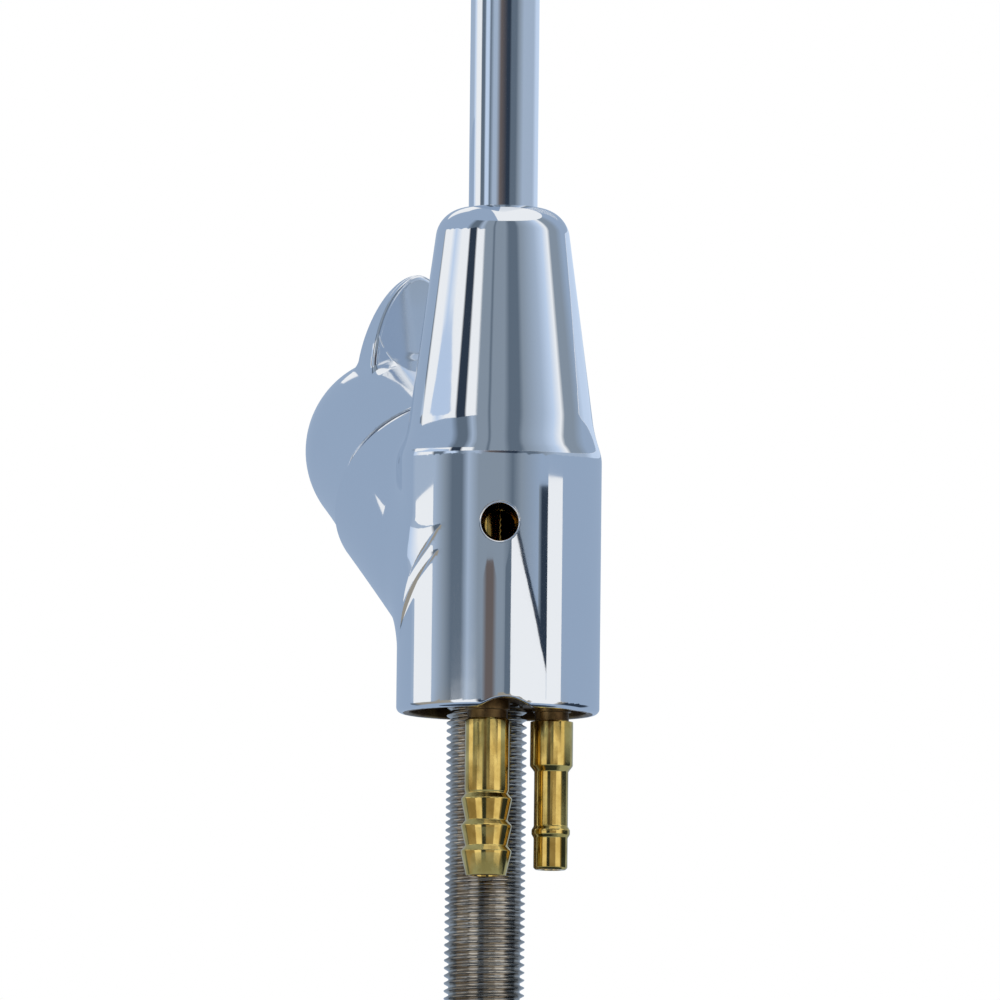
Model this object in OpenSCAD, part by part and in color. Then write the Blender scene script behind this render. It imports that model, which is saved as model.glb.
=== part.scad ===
// Drinking water faucet with an air gap: a cone-topped body on a cylindrical foot, a gooseneck
// spout that swivels in its top, a quarter turn ceramic valve in an inclined side branch, and a
// threaded shank with two hose barbs under the deck.
// Millimetres. +Z runs up the body axis and z = 0 is the rim that stands on the deck.
// The user stands on the -Y side; the air gap hole is on the +Y side.

/* [Body] */
// Outside diameter of the cylindrical foot
foot_d = 28; // [27:0.5:34]
// Height of the cylindrical foot
foot_h = 35.5; // [33.5:0.5:43]
// Height of the flare between foot and cone
flare_h = 3.5; // [2:0.5:6]
// Radial step of the flare
flare_step = 1.1; // [0.6:0.1:2]
// Cone's taper on the radius for each millimetre of height
cone_taper = 0.134; // [0.1:0.002:0.15]
// Height of the whole body
body_h = 70; // [66:1:86]
// Radius of the rounded top edge
top_round = 3.6; // [2:0.2:4]
// Radius of the rounded edge at the rim
rim_round = 0.8; // [0.4:0.1:1.2]
// Wall of the foot round its open underside
foot_wall = 1.8; // [1.6:0.1:2.5]
// Depth of the open underside, which takes the core
underside_depth = 10; // [9:0.5:12]

/* [Rim notch] */
// Width of the arched weep notch in the rim, under the air gap hole
notch_w = 6.8; // [4:0.2:9]
// Height of the notch
notch_h = 1.25; // [0.6:0.05:1.6]
// Offset of the notch towards -X
notch_x = 1; // [0:0.5:2]

/* [Air gap] */
// Height of the air gap hole above the deck
vent_z = 25.3; // [22:0.1:28]
// Diameter of the air gap hole at the surface
vent_d = 5.2; // [4.4:0.1:6]
// Diameter of the air gap hole where it enters the chamber
vent_inner_d = 4.1; // [3:0.1:4.3]
// Depth of the tapered mouth of the air gap hole
vent_taper_depth = 4.5; // [3:0.5:5]
// Height of the top of the air gap chamber
chamber_top = 34; // [31:0.5:34]
// Radius of the chamber over the drain barb
drain_chamber_r = 3.2; // [2.8:0.1:3.4]
// Radius of the chamber round the riser
riser_chamber_r = 2.9; // [2.6:0.1:3]
// Outside diameter of the riser tube
riser_d = 3.8; // [3:0.1:4]
// Wall of the riser tube
riser_wall = 0.5; // [0.4:0.1:0.7]
// Gap between the riser's cut top and the chamber's top
riser_top_gap = 2; // [1:0.5:4]

/* [Branch] */
// Turn of the branch from +X towards the user
branch_turn = 62; // [56:1:90]
// Rise of the branch above the horizontal
branch_rise = 34; // [30:1:36]
// Height at which the branch axis crosses the body axis
branch_z = 18.8; // [17:0.2:20]
// Distance along the branch from the foot's radius to its face
branch_reach = 11; // [11:0.5:18]
// Radius of the branch at its face
branch_r = 14.1; // [14:0.1:15]
// Radius of the branch where it starts inside the body
branch_root_r = 13.5; // [12.5:0.1:13.8]
// Extra slope of the web that thickens the branch's underside
web_slope = 4.5; // [2:0.5:7]

/* [Handle] */
// Radius of the cap at its rim
cap_rim_r = 13.9; // [13.2:0.1:14]
// Radius of the cap's dome
dome_r = 13.4; // [12.8:0.1:13.8]
// Distance from the rim of the cap to the centre of its dome
cap_skirt = 10.7; // [9.5:0.1:13]
// Wall of the cap
cap_wall = 2.6; // [2:0.1:3]
// Running gap between the cap and the branch
cap_gap = 0.15; // [0.1:0.05:0.5]
// Extra gap of the relief on the lever's side of the rim
relief_depth = 0.4; // [0.2:0.05:0.8]
// Angle that the relief spans
relief_span = 150; // [90:5:180]
// Half width of the lever at the cap
lever_half_w = 7.5; // [6:0.1:9]
// Height of the lever's tip above the crown of the cap
lever_rise = 11; // [8:0.5:20]
// Depth to which the lever's outline runs into the cap
lever_root = 2.2; // [1:0.2:3]
// Roundness of the lever's outline, 2 is an ellipse
lever_power = 1.8; // [1.4:0.1:3]
// Thickness of the lever at the cap
lever_thick = 5.2; // [4:0.1:7]
// Thickness of the lever at its tip
lever_tip_thick = 2.2; // [1.8:0.1:4]
// Distance from the centre of the dome back to the lever's rear face
lever_back = 5.5; // [4:0.1:7]
// Radius of the scooped groove behind the lever
scoop_r = 7; // [5:0.5:9]
// Half width of the scooped groove
scoop_half_w = 4.2; // [3:0.1:4.8]

/* [Valve] */
// Radius of the valve chamber
valve_r = 9.5; // [7.9:0.1:10]
// Distance along the branch from the body axis to the valve's seat
seat_s = 9; // [8.5:0.1:9.5]
// Thickness of the rubber seat seal
seal_t = 1.2; // [0.8:0.1:1.6]
// Thickness of the fixed ceramic disc
fixed_disc_t = 2.5; // [2:0.1:3]
// Thickness of the turning ceramic disc
turning_disc_t = 2.3; // [2:0.1:3]
// Wall of the cartridge's sleeve round the ceramic discs
sleeve_wall = 2.7; // [2.4:0.1:3]
// Wall between each port and the edge of its disc
port_edge = 1; // [0.8:0.1:1.2]
// Radius of the ports
port_r = 1.8; // [1.2:0.1:1.8]
// Diameter of the stem
stem_d = 6; // [5:0.2:6.4]
// Side of the stem's square end
stem_square = 4.6; // [3.6:0.1:4.4]
// Size across the flats of the bonnet nut
bonnet_flats = 17; // [15:0.5:18]

/* [Spout] */
// Outside diameter of the spout tube
spout_d = 9.52; // [8:0.01:10]
// Wall of the spout tube
spout_wall = 0.9; // [0.7:0.1:1.2]
// Height at which the spout starts to bend
spout_straight = 170; // [110:5:220]
// Radius of the gooseneck's centre line
spout_bend_r = 60; // [40:1:80]
// Length of straight tube above the outlet
spout_drop = 12; // [4:1:40]
// Height of the bottom of the spout's socket
socket_z = 50; // [50:0.5:52]

/* [Shank and barbs] */
// Major diameter of the shank's thread
shank_d = 11.11; // [10.5:0.01:12]
// Bore of the shank
shank_bore_d = 7; // [5:0.1:7.5]
// Length of the shank below the deck
shank_len = 62; // [40:1:80]
// Offset of the shank from the body axis towards +X
shank_x = 1.5; // [0:0.1:2]
// Offset of the shank from the body axis towards the user
shank_back = 4.7; // [4.6:0.1:5.2]
// Offset of the drain barb from the body axis towards +X
drain_x = 1.4; // [0:0.1:2]
// Offset of the drain barb from the body axis towards the air gap hole
drain_front = 5.3; // [5.2:0.1:5.8]
// Offset of the feed barb from the body axis towards -X
feed_side = 7.45; // [7:0.05:7.8]
// Offset of the feed barb from the body axis towards the air gap hole
feed_front = 2; // [1.6:0.1:2.6]
// Diameter of the drain barb's plain stretch
drain_d = 6.1; // [5.4:0.1:6.2]
// Diameter over the rings of the drain barb
drain_ring_d = 7; // [6.4:0.1:7.2]
// Bore of the drain barb
drain_bore_d = 4; // [3:0.1:4.2]
// Length of the drain barb below the deck
drain_len = 22.7; // [18:0.1:30]
// Diameter of the feed barb's collar
feed_collar_d = 5.9; // [5:0.1:6]
// Diameter of the feed barb's stem
feed_d = 4.7; // [4.2:0.1:4.8]
// Diameter over the feed barb's ring
feed_ring_d = 5.3; // [5:0.1:5.6]
// Bore of the feed barb
feed_bore_d = 2.8; // [2:0.1:3]
// Length of the feed barb below the deck
feed_len = 21.6; // [18:0.1:30]

/* [Core] */
// Depth of the core's lower face inside the rim
core_recess = 1.5; // [1:0.1:2.5]
// Thickness of the gasket on top of the core
gasket_t = 0.8; // [0.5:0.1:1.2]

/* [Fits] */
// Radial clearance of a part fixed in its seat
seat_fit = 0.03; // [0.02:0.01:0.05]
// Radial clearance of a turning fit
run_fit = 0.05; // [0.03:0.01:0.08]
// Gap between faces that slide over each other
face_gap = 0.05; // [0.03:0.01:0.1]

/* [Hidden] */

$fn = 96;
BIG = 60;
CUT = 0.2;
ARC_STEPS = 8;
DOME_STEPS = 14;

CHROME = [0.78, 0.81, 0.85];
BRASS = [0.72, 0.6, 0.28];
STEEL = [0.55, 0.55, 0.54];
RUBBER = [0.08, 0.08, 0.08];
CERAMIC = [0.94, 0.93, 0.9];

shank_xy = [shank_x, -shank_back];
drain_xy = [drain_x, drain_front];
feed_xy = [-feed_side, feed_front];

// Body
foot_r = foot_d / 2;
cone_z = foot_h + flare_h;
cone_r = foot_r - flare_step;
cone_top_r = cone_r - cone_taper * (body_h - cone_z);
underside_r = foot_r - foot_wall;
core_top = underside_depth - gasket_t;
notch_r = (pow(notch_w / 2, 2) + notch_h * notch_h) / (2 * notch_h);
passage_r = 1.8;
web_set = 0.3;
chamber_slot = 4.4;

// Spout in its socket
socket_r = spout_d / 2 + run_fit;
tube_bore_r = spout_d / 2 - spout_wall;
nipple_lift = 0.3;
nipple_len = 8.2;
nipple_wall = 1.3;
nipple_z = socket_z + nipple_lift;
nipple_shoulder = nipple_z + nipple_len;
spigot_len = 6;
clip_h = 1;
clip_up = 1.2;
clip_z = nipple_z + clip_up;
clip_out = 0.7;
clip_gap = 2.4;
ring_section = 0.65;
ring_above_clip = 2.9;
ring_pitch = 2.3;
ring_low_z = clip_z + ring_above_clip;
ring_high_z = ring_low_z + ring_pitch;
groove_side = 0.1;
outlet_z = spout_straight - spout_drop;

// Valve stack along the branch axis, from the seat outwards
branch_len = foot_r + branch_reach;
disc_r = valve_r - sleeve_wall;
port_offset = disc_r - port_edge - port_r;
fixed_s = seat_s + seal_t;
turning_s = fixed_s + fixed_disc_t + face_gap;
flange_s = turning_s + turning_disc_t + face_gap;
flange_t = 1.4;
flange_inset = 1.2;
flange_r = disc_r - flange_inset;
tongue_w = 2;
tongue_h = 1;
neck_r = 6;
neck_floor = flange_s + flange_t + face_gap;
shoulder_t = 2.2;
shoulder_s = neck_floor + shoulder_t;
neck_rise = 1.2;
neck_top = branch_len + neck_rise;
stem_r = stem_d / 2;
stem_bore_r = stem_r + run_fit;
stem_ring_up = 3.6;
stem_ring_s = neck_floor + stem_ring_up;
stem_ring_section = 0.7;
tongue_inset = 1;
cartridge_r = valve_r - seat_fit;
cartridge_ring_up = 4;
cartridge_ring_s = fixed_s + cartridge_ring_up;
hexagon_h = 2.4;
bonnet_top = branch_len + hexagon_h;

// Cap of the handle
rim_s = branch_len + cap_gap;
dome_s = rim_s + cap_skirt;
cap_bore_r = dome_r - cap_wall;
boss_wall = 2.2;
boss_r = stem_square / sqrt(2) + boss_wall;
boss_lift = 0.8;
boss_s = bonnet_top + boss_lift;
square_start = 0.4;
square_s = boss_s - square_start;
stem_past_dome = 2;
stem_top = dome_s + stem_past_dome;
screw_up = 3.6;
screw_s = boss_s + screw_up;
screw_r = 2;
screw_len = 4.2;
screw_hex = 2;
screw_hex_depth = 1.8;
screw_x = stem_square / 2 + face_gap;
lever_rho = dome_s * cos(branch_rise) - lever_back;
crown_z = branch_z + dome_s * sin(branch_rise) + dome_r;
lever_base_z = crown_z - lever_root;
lever_h = lever_rise + lever_root;
scoop_x = leg(cap_rim_r, scoop_half_w) + leg(scoop_r, scoop_half_w);

// Shank and barbs: each has a reduced spigot that is fixed in a blind seat of the core
shank_chamfer = 0.7;
shank_spigot_step = 0.6;
shank_spigot_r = shank_d / 2 - shank_spigot_step;
shank_seat_roof = 1.2;
shank_top = core_top - shank_seat_roof;
barb_step = 0.3;
barb_seat_roof = 1.6;
spigot_top = core_top - barb_seat_roof;
neck_high = 0.1;
neck_low = 1.2;
barb_cup_h = 1.2;
barb_lip = 0.5;
barb_lip_step = 0.1;
barb_root_step = 0.175;
drain_ring_drop = [12.1, 15.8, 19.3];
collar_end = 8.1;
collar_chamfer_h = 0.8;
feed_ring_drop = 16.4;
feed_ring_flat = 0.3;
feed_end_chamfer = 0.3;
riser_slant = 30;

// Other leg of a right triangle
function leg(hypotenuse, side) = sqrt(hypotenuse * hypotenuse - side * side);

// Points of an arc about a centre
function arc(cx, cy, r, a0, a1, n) =
    [for (i = [0 : n]) let (a = a0 + (a1 - a0) * i / n) [cx + r * cos(a), cy + r * sin(a)]];

// Frame of the branch: z runs out along it, y points sideways to the air gap side, x points down
module branch_frame() {
    translate([0, 0, branch_z]) rotate([0, 0, -branch_turn]) rotate([0, 90 - branch_rise, 0]) children();
}

// Upright frame turned to the branch: x runs outwards, z stays up
module side_frame() {
    rotate([0, 0, -branch_turn]) children();
}

// A point of the branch frame in the model's frame
function branch_point(x, s) =
    let (rho = s * cos(branch_rise) + x * sin(branch_rise))
    let (z = branch_z + s * sin(branch_rise) - x * cos(branch_rise))
    [rho * cos(branch_turn), -rho * sin(branch_turn), z];

// A round hole drilled from one point to another
module drilled(from, to, r) {
    d = to - from;
    translate(from)
        rotate([0, acos(d[2] / norm(d)), atan2(d[1], d[0])])
            cylinder(h = norm(d), r = r);
}

// A ring with a round section, about z
module round_ring(mid_r, section_r) {
    rotate_extrude() translate([mid_r, 0]) circle(r = section_r, $fn = 24);
}

module tube(r, bore_r, h) {
    difference() {
        cylinder(h = h, r = r);
        translate([0, 0, -CUT]) cylinder(h = h + 2 * CUT, r = bore_r);
    }
}

// Outline of the body's revolve: foot, flare, cone and rounded top
module body_outline() {
    slope = atan(cone_taper);
    round_x = cone_top_r - top_round * (1 / cos(slope) - tan(slope));
    polygon(concat(
        [[0, 0]],
        arc(foot_r - rim_round, rim_round, rim_round, -90, 0, 4),
        [[foot_r, foot_h], [cone_r, cone_z]],
        arc(round_x, body_h - top_round, top_round, slope, 90, ARC_STEPS),
        [[0, body_h]]));
}

// Inclined branch with the web that thickens its underside
module branch_outer() {
    branch_frame() cylinder(h = branch_len, r1 = branch_root_r, r2 = branch_r);
    branch_frame()
        translate([branch_r, 0, branch_len - web_set]) rotate([0, -web_slope, 0])
            translate([-branch_root_r, 0, -branch_len]) cylinder(h = branch_len, r = branch_root_r - web_set);
}

// Air gap chamber: a bore over each barb, joined by a slot
module air_chamber() {
    span = drain_xy - feed_xy;
    translate([0, 0, underside_depth - CUT]) linear_extrude(height = chamber_top - underside_depth + CUT) {
        translate(drain_xy) circle(r = drain_chamber_r);
        translate(feed_xy) circle(r = riser_chamber_r);
        translate(feed_xy) rotate(atan2(span[1], span[0]))
            translate([0, -chamber_slot / 2]) square([norm(span), chamber_slot]);
    }
}

module vent_hole() {
    translate([0, 0, vent_z]) rotate([-90, 0, 0]) {
        translate([0, 0, drain_xy[1]]) cylinder(h = foot_r - drain_xy[1], r = vent_inner_d / 2);
        translate([0, 0, foot_r - vent_taper_depth])
            cylinder(h = vent_taper_depth + CUT, r1 = vent_inner_d / 2, r2 = vent_d / 2);
    }
}

module body() {
    color(CHROME) difference() {
        union() {
            rotate_extrude() body_outline();
            branch_outer();
        }
        translate([0, 0, -CUT]) cylinder(h = underside_depth + CUT, r = underside_r);
        translate([-notch_x, 0, notch_h - notch_r]) rotate([-90, 0, 0])
            cylinder(h = BIG, r = notch_r);
        air_chamber();
        vent_hole();
        translate([0, 0, socket_z]) cylinder(h = body_h - socket_z + CUT, r = socket_r);
        translate([0, 0, clip_z - clip_h / 2 - groove_side])
            cylinder(h = clip_h + 2 * groove_side, r = socket_r + clip_out + groove_side);
        branch_frame() translate([0, 0, seat_s]) cylinder(h = BIG, r = valve_r);
        drilled([shank_x, -shank_back, underside_depth - CUT], branch_point(port_offset, seat_s), passage_r);
        drilled(branch_point(-port_offset, seat_s), [0, 0, socket_z + CUT], passage_r);
    }
}

module core() {
    color(BRASS) difference() {
        translate([0, 0, core_recess]) cylinder(h = core_top - core_recess, r = underside_r - seat_fit);
        translate([shank_xy[0], shank_xy[1], 0]) {
            cylinder(h = shank_top, r = shank_spigot_r + seat_fit);
            cylinder(h = core_top + CUT, r = passage_r);
        }
        translate([drain_xy[0], drain_xy[1], 0]) {
            cylinder(h = spigot_top, r = drain_d / 2 - barb_step + seat_fit);
            cylinder(h = core_top + CUT, r = drain_bore_d / 2);
        }
        translate([feed_xy[0], feed_xy[1], 0]) {
            cylinder(h = spigot_top, r = feed_d / 2 - barb_step + seat_fit);
            cylinder(h = core_top + CUT, r = riser_d / 2 + seat_fit);
        }
    }
}

module core_gasket() {
    color(RUBBER) translate([0, 0, core_top]) difference() {
        cylinder(h = gasket_t, r = underside_r - seat_fit);
        translate([0, 0, -CUT]) linear_extrude(height = gasket_t + 2 * CUT) {
            translate(shank_xy) circle(r = passage_r);
            translate(drain_xy) circle(r = drain_bore_d / 2);
            translate(feed_xy) circle(r = riser_d / 2 + seat_fit);
        }
    }
}

// Shank, drawn at the major diameter of its thread, with a chamfered end and a spigot in the core
module shank() {
    straight = shank_len + core_recess - shank_chamfer;
    color(STEEL) translate([shank_xy[0], shank_xy[1], -shank_len]) difference() {
        union() {
            cylinder(h = shank_chamfer, r1 = shank_d / 2 - shank_chamfer, r2 = shank_d / 2);
            translate([0, 0, shank_chamfer]) cylinder(h = straight, r = shank_d / 2);
            translate([0, 0, shank_len]) cylinder(h = shank_top, r = shank_spigot_r);
        }
        translate([0, 0, -CUT]) cylinder(h = shank_len + shank_top + 2 * CUT, r = shank_bore_d / 2);
    }
}

// Outline of the drain barb: spigot, band, neck, plain stretch, three cup-shaped rings and the end
module drain_outline() {
    r = drain_d / 2;
    root = r - barb_step;
    tip = drain_ring_d / 2;
    polygon(concat(
        [[0, spigot_top], [root, spigot_top], [root, core_recess], [r, core_recess],
         [r, neck_high], [root, neck_high], [root, -neck_low], [r, -neck_low]],
        [for (drop = drain_ring_drop) each
            [[r - barb_root_step, barb_cup_h - drop], [tip, -drop], [tip - barb_lip_step, -drop - barb_lip]]],
        [[root, -drain_len], [0, -drain_len]]));
}

module drain_barb() {
    color(BRASS) translate([drain_xy[0], drain_xy[1], 0]) difference() {
        rotate_extrude() drain_outline();
        translate([0, 0, -drain_len - CUT])
            cylinder(h = drain_len + spigot_top + 2 * CUT, r = drain_bore_d / 2);
    }
}

// Outline of the feed barb: spigot, band, neck, collar and a stem with one ring
module feed_outline() {
    r = feed_d / 2;
    root = r - barb_step;
    collar = feed_collar_d / 2;
    band = collar - barb_step;
    tip = feed_ring_d / 2;
    polygon([
        [0, spigot_top], [root, spigot_top], [root, core_recess], [band, core_recess],
        [band, neck_high], [r, neck_high], [r, -neck_low], [collar, -neck_low],
        [collar, collar_chamfer_h - collar_end], [r, -collar_end],
        [r, barb_cup_h - feed_ring_drop], [tip, feed_ring_flat - feed_ring_drop],
        [tip, -feed_ring_flat - feed_ring_drop], [r, -barb_cup_h - feed_ring_drop],
        [r, feed_end_chamfer - feed_len], [r - feed_end_chamfer, -feed_len], [0, -feed_len]]);
}

module feed_barb() {
    color(BRASS) translate([feed_xy[0], feed_xy[1], 0]) difference() {
        rotate_extrude() feed_outline();
        translate([0, 0, -feed_len - CUT])
            cylinder(h = feed_len + spigot_top + 2 * CUT, r = feed_bore_d / 2);
    }
}

// Riser tube, cut aslant at its top so that it pours away from the air gap hole
module riser() {
    r = riser_d / 2;
    top = chamber_top - riser_top_gap;
    color(BRASS) translate([feed_xy[0], feed_xy[1], 0]) difference() {
        translate([0, 0, spigot_top]) tube(r, r - riser_wall, top - spigot_top);
        translate([0, 0, top]) rotate([0, riser_slant, 0])
            translate([-BIG / 2, -BIG / 2, 0]) cube(BIG);
    }
}

module seat_seal() {
    color(RUBBER) branch_frame() translate([0, 0, seat_s]) difference() {
        cylinder(h = seal_t, r = disc_r);
        for (side = [-1, 1])
            translate([side * port_offset, 0, -CUT]) cylinder(h = seal_t + 2 * CUT, r = port_r);
    }
}

module fixed_disc() {
    color(CERAMIC) branch_frame() translate([0, 0, fixed_s]) difference() {
        cylinder(h = fixed_disc_t, r = disc_r);
        for (side = [-1, 1])
            translate([side * port_offset, 0, -CUT]) cylinder(h = fixed_disc_t + 2 * CUT, r = port_r);
    }
}

// Turning disc: a hollow on its wet face joins the two ports when it lies along them
module turning_disc() {
    hollow_h = turning_disc_t / 2;
    color(CERAMIC) branch_frame() translate([0, 0, turning_s]) difference() {
        cylinder(h = turning_disc_t, r = disc_r);
        for (side = [-1, 1])
            translate([0, side * port_offset, -CUT]) cylinder(h = hollow_h + CUT, r = port_r);
        translate([-port_r, -port_offset, -CUT]) cube([2 * port_r, 2 * port_offset, hollow_h + CUT]);
        translate([-tongue_w / 2 - face_gap, -BIG / 2, turning_disc_t - tongue_h - face_gap])
            cube([tongue_w + 2 * face_gap, BIG, BIG]);
    }
}

// Cartridge: a sleeve round the discs with a neck that guides the stem
module cartridge() {
    color(BRASS) branch_frame() difference() {
        union() {
            translate([0, 0, fixed_s]) cylinder(h = shoulder_s - fixed_s, r = cartridge_r);
            translate([0, 0, neck_floor]) cylinder(h = neck_top - neck_floor, r = neck_r);
        }
        translate([0, 0, -CUT]) cylinder(h = neck_floor + CUT, r = disc_r + run_fit);
        cylinder(h = neck_top + CUT, r = stem_bore_r);
        translate([0, 0, cartridge_ring_s - stem_ring_section]) difference() {
            cylinder(h = 2 * stem_ring_section, r = BIG);
            translate([0, 0, -CUT])
                cylinder(h = 2 * stem_ring_section + 2 * CUT, r = valve_r - 2 * stem_ring_section - seat_fit);
        }
    }
}

module cartridge_ring() {
    color(RUBBER) branch_frame() translate([0, 0, cartridge_ring_s])
        round_ring(valve_r - stem_ring_section, stem_ring_section - seat_fit);
}

// Bonnet nut: threaded into the branch, with a hexagon that stands inside the cap
module bonnet_nut() {
    color(BRASS) branch_frame() difference() {
        union() {
            translate([0, 0, shoulder_s]) cylinder(h = branch_len - shoulder_s, r = valve_r - seat_fit);
            translate([0, 0, branch_len])
                cylinder(h = hexagon_h, d = bonnet_flats / cos(30), $fn = 6);
        }
        cylinder(h = BIG, r = neck_r + seat_fit);
    }
}

// Stem: flange with a tongue for the disc, shaft with a ring groove, and a square end for the cap
module stem() {
    color(BRASS) branch_frame() difference() {
        union() {
            translate([0, 0, flange_s]) cylinder(h = flange_t, r = flange_r);
            translate([-tongue_w / 2, tongue_inset - disc_r, flange_s - tongue_h - face_gap])
                cube([tongue_w, 2 * (disc_r - tongue_inset), tongue_h + face_gap + CUT]);
            translate([0, 0, flange_s]) cylinder(h = square_s - flange_s, r = stem_r);
            translate([-stem_square / 2, -stem_square / 2, square_s - CUT])
                cube([stem_square, stem_square, stem_top - square_s]);
        }
        translate([0, 0, stem_ring_s - stem_ring_section]) difference() {
            cylinder(h = 2 * stem_ring_section, r = BIG);
            translate([0, 0, -CUT])
                cylinder(h = 2 * stem_ring_section + 2 * CUT, r = stem_bore_r - 2 * stem_ring_section);
        }
    }
}

module stem_ring() {
    color(RUBBER) branch_frame() translate([0, 0, stem_ring_s])
        round_ring(stem_bore_r - stem_ring_section, stem_ring_section - seat_fit);
}

// Outline of the cap's revolve: a slightly tapered skirt and a round dome
module cap_outline() {
    polygon(concat([[0, rim_s], [cap_rim_r, rim_s]], arc(0, dome_s, dome_r, 0, 90, DOME_STEPS)));
}

module cap_hollow_outline() {
    polygon(concat(
        [[0, rim_s - CUT], [cap_bore_r, rim_s - CUT]],
        arc(0, dome_s, cap_bore_r, 0, 90, DOME_STEPS)));
}

// Tongue-shaped outline of the lever, half of a superellipse, seen from the user's side
module lever_outline() {
    power = 2 / lever_power;
    polygon(concat(
        [for (i = [0 : 2 * DOME_STEPS]) let (a = 90 * i / DOME_STEPS)
            [lever_half_w * sign(cos(a)) * pow(abs(cos(a)), power), lever_h * pow(sin(a), power)]],
        [[-lever_half_w, -lever_root], [lever_half_w, -lever_root]]));
}

// Lever: its outline cut to a thickness that tapers to the tip
module lever() {
    side_frame() intersection() {
        translate([lever_rho, 0, lever_base_z]) rotate([90, 0, 90])
            linear_extrude(height = BIG) lever_outline();
        translate([lever_rho, BIG / 2, lever_base_z]) rotate([90, 0, 0]) linear_extrude(height = BIG)
            polygon([[0, -lever_root], [lever_thick, -lever_root], [lever_thick, 0],
                [lever_tip_thick, lever_h], [0, lever_h]]);
    }
}

// Groove scooped out of the cap's crown behind the lever
module scoop() {
    intersection() {
        branch_frame() translate([-scoop_x, 0, 0]) cylinder(h = BIG, r = scoop_r);
        side_frame() translate([lever_rho - BIG, -BIG / 2, 0]) cube([BIG, BIG, 2 * BIG]);
    }
}

module handle() {
    color(CHROME) difference() {
        union() {
            branch_frame() rotate_extrude() cap_outline();
            lever();
        }
        scoop();
        branch_frame() {
            difference() {
                rotate_extrude() cap_hollow_outline();
                translate([0, 0, boss_s]) cylinder(h = BIG, r = boss_r);
            }
            translate([-stem_square / 2 - face_gap, -stem_square / 2 - face_gap, boss_s - CUT])
                cube([stem_square + 2 * face_gap, stem_square + 2 * face_gap, stem_top - boss_s + CUT]);
            translate([0, 0, screw_s]) rotate([0, 90, 0]) cylinder(h = BIG, r = screw_r + seat_fit);
            rotate([0, 0, 180 - relief_span / 2]) rotate_extrude(angle = relief_span)
                translate([0, rim_s - CUT]) square([BIG, relief_depth + CUT]);
        }
    }
}

module set_screw() {
    color(STEEL) branch_frame() translate([screw_x, 0, screw_s]) rotate([0, 90, 0]) difference() {
        cylinder(h = screw_len, r = screw_r);
        translate([0, 0, screw_len - screw_hex_depth]) cylinder(h = BIG, d = screw_hex / cos(30), $fn = 6);
    }
}

// Path of the spout at a given radius: riser, half circle and drop to the outlet
module spout_path(r, extra) {
    translate([0, 0, nipple_shoulder - extra]) cylinder(h = spout_straight - nipple_shoulder + extra, r = r);
    translate([0, -spout_bend_r, spout_straight]) rotate([90, 0, 90])
        rotate_extrude(angle = 180) translate([spout_bend_r, 0]) circle(r = r);
    translate([0, -2 * spout_bend_r, outlet_z - extra]) cylinder(h = spout_drop + extra, r = r);
}

module spout() {
    color(CHROME) difference() {
        spout_path(spout_d / 2, 0);
        spout_path(tube_bore_r, CUT);
    }
}

// Nipple in the foot of the spout: it carries both rings and the clip
module spout_nipple() {
    groove_r = socket_r - 2 * ring_section;
    clip_r = spout_d / 2 - clip_out - groove_side;
    color(BRASS) difference() {
        translate([0, 0, nipple_z]) {
            cylinder(h = nipple_len, r = spout_d / 2);
            cylinder(h = nipple_len + spigot_len, r = tube_bore_r - seat_fit);
        }
        translate([0, 0, nipple_z - CUT]) cylinder(h = BIG, r = tube_bore_r - nipple_wall);
        for (groove = [[clip_z, clip_h / 2 + groove_side, clip_r], [ring_low_z, ring_section, groove_r],
                [ring_high_z, ring_section, groove_r]])
            translate([0, 0, groove[0] - groove[1]]) difference() {
                cylinder(h = 2 * groove[1], r = BIG);
                translate([0, 0, -CUT]) cylinder(h = 2 * groove[1] + 2 * CUT, r = groove[2]);
            }
    }
}

module spout_ring(z) {
    color(RUBBER) translate([0, 0, z]) round_ring(socket_r - ring_section, ring_section - seat_fit);
}

module spout_ring_low() {
    spout_ring(ring_low_z);
}

module spout_ring_high() {
    spout_ring(ring_high_z);
}

// Split ring that keeps the spout in the body
module spout_clip() {
    color(STEEL) translate([0, 0, clip_z - clip_h / 2]) difference() {
        tube(socket_r + clip_out, spout_d / 2 - clip_out, clip_h);
        translate([0, -clip_gap / 2, -CUT]) cube([BIG, clip_gap, clip_h + 2 * CUT]);
    }
}

body();
core();
core_gasket();
shank();
drain_barb();
feed_barb();
riser();
seat_seal();
fixed_disc();
cartridge();
cartridge_ring();
bonnet_nut();
turning_disc();
stem();
stem_ring();
handle();
set_screw();
spout();
spout_nipple();
spout_ring_low();
spout_ring_high();
spout_clip();
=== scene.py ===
import math

import bmesh
import bpy
import numpy as np
from mathutils import Matrix, Vector


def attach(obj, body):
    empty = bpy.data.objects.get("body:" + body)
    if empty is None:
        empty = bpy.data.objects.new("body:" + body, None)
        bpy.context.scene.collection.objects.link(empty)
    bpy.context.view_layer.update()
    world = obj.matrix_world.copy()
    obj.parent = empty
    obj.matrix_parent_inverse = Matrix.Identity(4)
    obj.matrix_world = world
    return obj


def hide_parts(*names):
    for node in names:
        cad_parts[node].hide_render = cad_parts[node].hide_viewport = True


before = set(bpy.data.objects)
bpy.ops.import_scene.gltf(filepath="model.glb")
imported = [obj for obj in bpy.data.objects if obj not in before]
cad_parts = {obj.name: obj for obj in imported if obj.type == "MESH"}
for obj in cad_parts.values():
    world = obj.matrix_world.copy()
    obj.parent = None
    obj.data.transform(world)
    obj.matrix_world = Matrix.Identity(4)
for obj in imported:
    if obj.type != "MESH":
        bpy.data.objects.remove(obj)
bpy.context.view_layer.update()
MM = 0.001

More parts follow.
